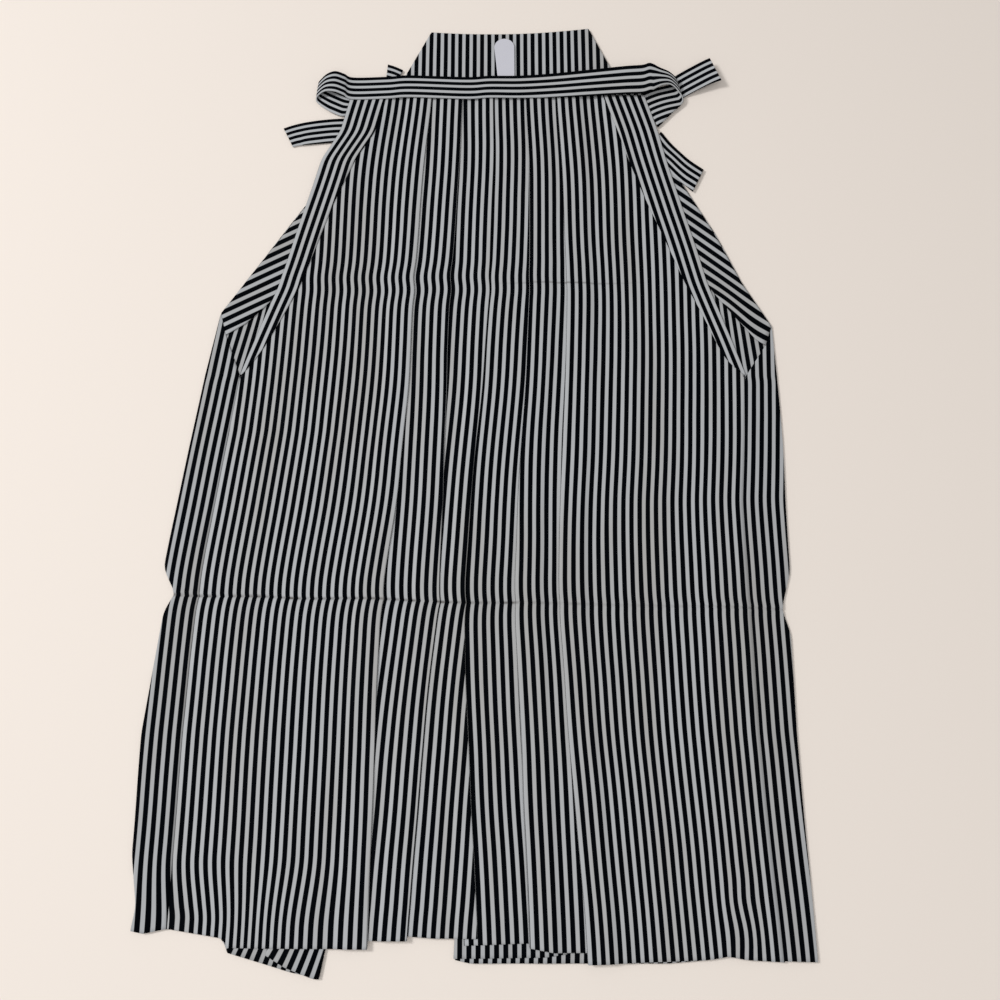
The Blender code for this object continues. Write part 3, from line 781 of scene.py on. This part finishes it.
BOARD_X = 11.5
BOARD_FOOT = 484
BOARD_TOP = 561
BOARD_TOP_WIDTH = 184
BOARD_FOOT_WIDTH = 254
BOARD_TILT = 2.5
BOARD_SAG = 5.0
BOARD_THICK = 3.2
BOARD_ROUND = 1.3
BOARD_SHIFT = 4.0       # where its stripes fall
COVER_THICK = BOARD_THICK - 0.3


def board_half_width(share):
    """Half the board's width at a share of its height from the foot."""
    return (BOARD_FOOT_WIDTH + (BOARD_TOP_WIDTH - BOARD_FOOT_WIDTH) * share) / 2


sheet = Sheet()
rows = []
for share in spaced(0, 1, 24):
    half = board_half_width(share) - BOARD_ROUND
    row = []
    for part in spaced(-1, 1, 72):
        x = BOARD_X + half * part
        top = BOARD_TOP + BOARD_TILT * part - BOARD_SAG * (1 - part * part) - BOARD_ROUND
        y = BOARD_FOOT + BOARD_ROUND + (top - BOARD_FOOT - BOARD_ROUND) * share
        puff = 0.18 * noise.noise(Vector((x * 0.03, y * 0.03, 6.0)))
        row.append((x, y, BOARD_THICK / 2 + puff, x + BOARD_SHIFT, y))
    rows.append(row)
sheet.grid(rows, placed)
board = sheet.piece("waist_board_cover", ["waist_board"], outer_silk,
                    thickness=COVER_THICK)
round_over = board.modifiers.new("turned_edges", "BEVEL")
round_over.width = BOARD_ROUND * MM
round_over.segments = 3
round_over.limit_method = "ANGLE"

# ---------------------------------------------------------------- the spatula
# A thin tongue of pale plastic, round at the top, stitched to the inside of the
# board. The wearer tucks it into the sash to hold the back up.

SPATULA_X = 5
SPATULA_TOP = 546
SPATULA_FOOT = 488
SPATULA_HEAD = 22
SPATULA_WIDTH = 17.5
SPATULA_THICK = 1.4
SPATULA_ROUND = 0.45
SPATULA_GAP = 0.35      # clear of the board
LILAC = (0.53, 0.53, 0.585, 1)
LILAC_PALE = (0.60, 0.60, 0.65, 1)

plastic = bpy.data.materials.new("pale_plastic")
plastic.use_nodes = True
tree = plastic.node_tree
shader = tree.nodes["Principled BSDF"]
where = node(tree, "ShaderNodeTexCoord", output=3)
cloud = node(tree, "ShaderNodeTexNoise", None, {"Vector": where, "Scale": 90.0, "Detail": 3.0})
tint = mix(tree, cloud * 0.35, LILAC, LILAC_PALE)
tree.links.new(tint.socket, shader.inputs["Base Color"])
tree.links.new((0.30 + cloud * 0.12).socket, shader.inputs["Roughness"])
moulded = node(tree, "ShaderNodeBump", None,
               {"Strength": 0.1, "Distance": 0.0001, "Height": cloud})
tree.links.new(moulded.socket, shader.inputs["Normal"])

radius = SPATULA_HEAD / 2
curve = bpy.data.curves.new("spatula_tongue", "CURVE")
curve.dimensions = "2D"
curve.fill_mode = "BOTH"
curve.extrude = (SPATULA_THICK / 2 - SPATULA_ROUND) * MM
curve.bevel_depth = SPATULA_ROUND * MM
curve.bevel_resolution = 3
outline = [(SPATULA_X + radius - SPATULA_WIDTH, SPATULA_FOOT), (SPATULA_X + radius, SPATULA_FOOT)]
for angle in spaced(0, math.pi, 28):
    outline.append((SPATULA_X + radius * math.cos(angle),
                    SPATULA_TOP - radius + radius * math.sin(angle)))
spline = curve.splines.new("POLY")
spline.points.add(len(outline) - 1)
for point, (x, y) in zip(spline.points, outline):
    point.co = (*placed(x, y, 0), 1.0)
spline.use_cyclic_u = True
tongue = bpy.data.objects.new("spatula_tongue", curve)
bpy.context.scene.collection.objects.link(tongue)
tongue.location.z = (BOARD_THICK + SPATULA_GAP + SPATULA_THICK / 2) * MM
tongue.data.materials.append(plastic)
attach(tongue, "root")
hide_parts("waist_spatula")

# ---------------------------------------------------------------- waistband and ties
# One long band of the silk, folded to a little under three centimetres with its
# stripes lengthwise, takes the front's top edge and runs on as the two front ties.
# They turn back on themselves beside the waist, and their rest is folded away inside.

TIE_COLUMNS = ("x", "y", "lean", "width", "z", "rise")
TIE_WIDTH = 28
TIE_DARK = 1.9          # from the upper edge to the first dark stripe's middle
TIE_REPEAT = 7.2        # the band is cut where the stripes draw in a little
TIE_CLOTH = 1.1
TIE_CROWN = 0.25        # a folded band is a little higher along its middle
TIE_POINTS = 12         # across a band
TIE_STEPS = 8           # from one crossing to the next
BAND_Z = 5.6
WAISTBAND = (
    (-166, 479.5, 0, TIE_WIDTH, BAND_Z, 0),
    (-127, 480.8, 0, TIE_WIDTH, BAND_Z - 0.3, 0),
    (-102, 482.4, 0, TIE_WIDTH, BAND_Z, 0),
    (-38, 480.4, 0, TIE_WIDTH, BAND_Z - 0.3, 0),
    (-12, 481.8, 0, TIE_WIDTH, BAND_Z, 0),
    (22, 481.6, 0, TIE_WIDTH, BAND_Z + 0.2, 0.4),
    (60, 482.6, 0, 29, BAND_Z + 1.3, 1.1),
    (100, 484, 0, 30, 9.4, 2.4),
    (140, 485.6, 0, 30, 12.2, 3.9),
    (160, 486, 0, 30, 13.4, 4.4),
)
RIGHT_TIE_LOOP = (
    (-176, 482, 0, 27, 9.4, 0),
    (-186, 484, 0, 26, 12, 0),
    (-196, 483, 3, 22, 11, 0),
    (-204, 478, 6, 19, 8, 0.5),
    (-206, 476, 6, 21, 5, 0.3),
    (-203, 474, 8, 25, 2.4, 0),
    (-190, 466, 10, TIE_WIDTH, 2.8, 0),
    (-177, 460, 8, TIE_WIDTH, 2.6, 0),
    (-167, 459, 14, 24, 2.4, 0),
)
RIGHT_TIE_END = (
    (-165, 430, 4, 26, 1.4, 0),
    (-184, 428, 9, 30, 1.4, 0),
    (-202, 426, 6, 30, 1.6, 0),
    (-217, 424, 6, 29, 1.7, 0),
    (-228, 422, -6, 27, 1.1, 0),
    (-237, 419, -26, 26, 0.8, 0),
)
LEFT_TIE_LOOP = (
    (170, 488, -4, 29, 15, 4),
    (181, 488, -6, 20, 15, 2),
    (191, 487, -8, 15, 13.5, 1.5),
    (199, 482, -9, 16, 10, 1),
    (203, 476, -17, 22, 6.2, 0.6),
    (199, 473, -23, 28, 3.5, 0),
    (184, 465, -27, 37, 2.8, 0),
    (173, 457, -24, 44, 2.4, 0),
    (168, 453, -23, 46, 2.0, 0),
)
LEFT_TIE_UPPER_END = (
    (195, 479, -19, TIE_WIDTH, 1, 0),
    (206, 486, -17, 29, 1.6, 0),
    (219, 492, -19, 29, 5, 0),
    (235, 499, -19, 30, 8, 0),
    (244, 502, -22, 31, 9.5, 0),
)
LEFT_TIE_LOWER_END = (
    (173, 415, 33, 27, 1.4, 0),
    (181, 403, 44, 26, 1.4, 0),
    (192, 391, 43, 25, 1.6, 0),
    (203, 378, 33, 27, 2.4, 0),
    (219, 364, 26, 30, 2.2, 0),
)
BACK_TIE_END = (
    (-129, 500, 4, TIE_WIDTH, 1.6, 0),
    (-122, 498, 13, 26, 1.6, 0),
    (-116, 495, 25, 25, 1.6, 0),
)


def smooth_rows(crossings, steps):
    """Crossings between the given ones, on a smooth curve through them."""
    rows = [crossings[0]] + list(crossings) + [crossings[-1]]
    found = []
    for a, b, c, d in zip(rows, rows[1:], rows[2:], rows[3:]):
        for step in range(steps):
            t = step / steps
            found.append([0.5 * (2 * q + (r - p) * t + (2 * p - 5 * q + 4 * r - s) * t * t
                                 + (3 * q - p - 3 * r + s) * t ** 3)
                          for p, q, r, s in zip(a, b, c, d)])
    found.append(list(crossings[-1]))
    return found


def band(name, nodes, crossings):
    """A flat band that follows its crossings, with its stripes along it."""
    sheet = Sheet()
    rows = []
    run = 0.0
    before = None
    for values in smooth_rows(crossings, TIE_STEPS):
        row = dict(zip(TIE_COLUMNS, values))
        lean = math.radians(row["lean"])
        middle = Vector((row["x"], row["y"], row["z"]))
        run += (middle - before).length if before else 0
        before = middle
        line = []
        for share in spaced(1, -1, TIE_POINTS):
            reach = share * row["width"] / 2
            across = (1 - share) * max(row["width"], TIE_WIDTH) / 2
            crown = TIE_CROWN * (1 - share * share)
            line.append((row["x"] + reach * math.sin(lean), row["y"] + reach * math.cos(lean),
                         row["z"] + share * row["rise"] + crown,
                         (across - TIE_DARK) * STRIPE / TIE_REPEAT, run))
        rows.append(line)
    sheet.grid(rows, placed)
    made = sheet.piece(name, nodes, outer_silk, thickness=TIE_CLOTH)
    return made


band("front_band_silk", ["front_waistband", "right_tie_loop", "left_tie_loop"],
     RIGHT_TIE_LOOP[::-1] + WAISTBAND + LEFT_TIE_LOOP)
band("right_tie_end_silk", ["right_tie_end"], RIGHT_TIE_END)
band("left_tie_upper_end_silk", ["left_tie_upper_end"], LEFT_TIE_UPPER_END)
band("left_tie_lower_end_silk", ["left_tie_lower_end"], LEFT_TIE_LOWER_END)
band("back_tie_end_silk", ["back_tie_end"], BACK_TIE_END)

# ---------------------------------------------------------------- floor, light, camera
# A plain pale floor, one soft lamp high on the wearer's right and a wide, weaker one
# on the hems' side. The camera is high over the lower legs and looks a little towards
# the waist. Places here are in metres.

FLOOR_COLOUR = (0.80, 0.728, 0.665, 1)
FLOOR_SIZE = 8.0
FLOOR_Z = -0.0006       # just clear of the cloth
KEY_PLACE = (-2.6, 0.7, 2.8)
FILL_PLACE = (-0.2, -1.6, 3.0)
SKY_COLOUR = (1.0, 0.99, 0.98, 1)
SKY_STRENGTH = 0.40
EYE_PLACE = (0.0257, -0.3163, 0.981)
EYE_TILT = 14.7         # degrees
LENS = 36.0             # millimetres, on a sensor as wide

bpy.ops.mesh.primitive_plane_add(size=FLOOR_SIZE, location=(0, 0, FLOOR_Z))
floor = bpy.context.object
floor.name = "floor"
paper = bpy.data.materials.new("pale_floor")
paper.use_nodes = True
paper.node_tree.nodes["Principled BSDF"].inputs["Base Color"].default_value = FLOOR_COLOUR
paper.node_tree.nodes["Principled BSDF"].inputs["Roughness"].default_value = 0.9
floor.data.materials.append(paper)


def lamp(name, place, size, power):
    """A square area lamp, aimed at the middle of the garment."""
    light = bpy.data.lights.new(name, "AREA")
    light.size = size
    light.energy = power
    made = bpy.data.objects.new(name, light)
    bpy.context.scene.collection.objects.link(made)
    made.location = place
    made.rotation_euler = (-Vector(place)).to_track_quat("-Z", "Y").to_euler()


lamp("key", KEY_PLACE, size=0.9, power=88)
lamp("fill", FILL_PLACE, size=2.6, power=34)
world = bpy.data.worlds.new("studio")
world.use_nodes = True
world.node_tree.nodes["Background"].inputs["Color"].default_value = SKY_COLOUR
world.node_tree.nodes["Background"].inputs["Strength"].default_value = SKY_STRENGTH
bpy.context.scene.world = world

eye = bpy.data.cameras.new("camera")
eye.lens = LENS
eye.sensor_width = LENS
camera = bpy.data.objects.new("camera", eye)
bpy.context.scene.collection.objects.link(camera)
camera.location = EYE_PLACE
camera.rotation_euler = (math.radians(EYE_TILT), 0, 0)
bpy.context.scene.camera = camera
